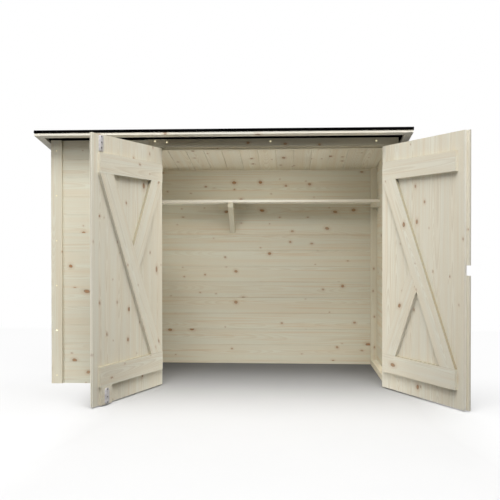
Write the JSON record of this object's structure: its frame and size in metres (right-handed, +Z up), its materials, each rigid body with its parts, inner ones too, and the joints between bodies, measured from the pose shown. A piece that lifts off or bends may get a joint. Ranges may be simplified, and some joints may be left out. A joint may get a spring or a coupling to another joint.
{
  "type": "timber bike shelter with lean-to roof",
  "caption": "Lean-to timber shed for bicycles: board walls, felt roof, open ground inside, double doors off centre, shelf along the back wall.",
  "frame": {"origin": "on the ground under the middle of the back wall", "axes": "+X to the right seen from the doors, +Y from the doors to the back wall, +Z up"},
  "size_m": [2.7353, 1.6749, 1.7163],
  "materials": {
    "wall_timber": "bare sawn and planed spruce",
    "frame_timber": "bare sawn and planed spruce",
    "trim_timber": "bare sawn and planed spruce",
    "roof_timber": "bare sawn and planed spruce",
    "door_timber": "bare sawn and planed spruce",
    "roofing_felt": "matt mineral felt",
    "galvanised_steel": "bright zinc plated"
  },
  "bodies": {
    "shed": {"back_post_left": "frame_timber", "back_post_right": "frame_timber", "back_trims": "trim_timber", "back_wall": "wall_timber", "bottom_rail_front": "frame_timber", "bottom_rail_left": "frame_timber", "bottom_rail_right": "frame_timber", "door_post": "frame_timber", "front_over_door": "wall_timber", "front_panel": "wall_timber", "front_pier": "wall_timber", "front_post_left": "frame_timber", "front_post_right": "frame_timber", "front_trim_left": "trim_timber", "front_trim_right": "trim_timber", "header_board": "trim_timber", "hinge_plate_left_bottom": "galvanised_steel", "hinge_plate_left_top": "galvanised_steel", "hinge_plate_right_bottom": "galvanised_steel", "hinge_plate_right_top": "galvanised_steel", "jamb_trim": "trim_timber", "left_wall": "wall_timber", "lintel": "frame_timber", "right_wall": "wall_timber", "roof_boards": "roof_timber", "roof_felt": "roofing_felt", "roof_lath_back": "trim_timber", "roof_lath_front": "trim_timber", "roof_lath_left": "trim_timber", "roof_lath_right": "trim_timber", "shelf": "frame_timber", "shelf_arm": "frame_timber", "shelf_end_cleats": "frame_timber", "shelf_strut": "frame_timber", "shelf_wall_cleat": "frame_timber", "side_trims_left": "trim_timber", "side_trims_right": "trim_timber"},
    "left_door": {"left_door_block": "door_timber", "left_door_boards": "door_timber", "left_door_ledges": "door_timber", "left_door_long_brace": "door_timber", "left_door_short_brace": "door_timber", "left_door_straps": "galvanised_steel", "top_bolt": "galvanised_steel", "bottom_bolt": "galvanised_steel"},
    "right_door": {"right_door_boards": "door_timber", "right_door_ledges": "door_timber", "right_door_long_brace": "door_timber", "right_door_short_brace": "door_timber", "right_door_straps": "galvanised_steel", "cover_strip": "door_timber"}
  },
  "joints": [
    {"name": "left_door_hinge", "type": "hinge", "parent": "shed", "child": "left_door", "pos_m": [-0.4245, -0.881, 0.8], "axis": [0, 0, -1], "range_deg": [-112, 58]},
    {"name": "right_door_hinge", "type": "hinge", "parent": "shed", "child": "right_door", "pos_m": [1.0825, -0.881, 0.8], "axis": [0, 0, 1], "range_deg": [-120, 50]}
  ]
}
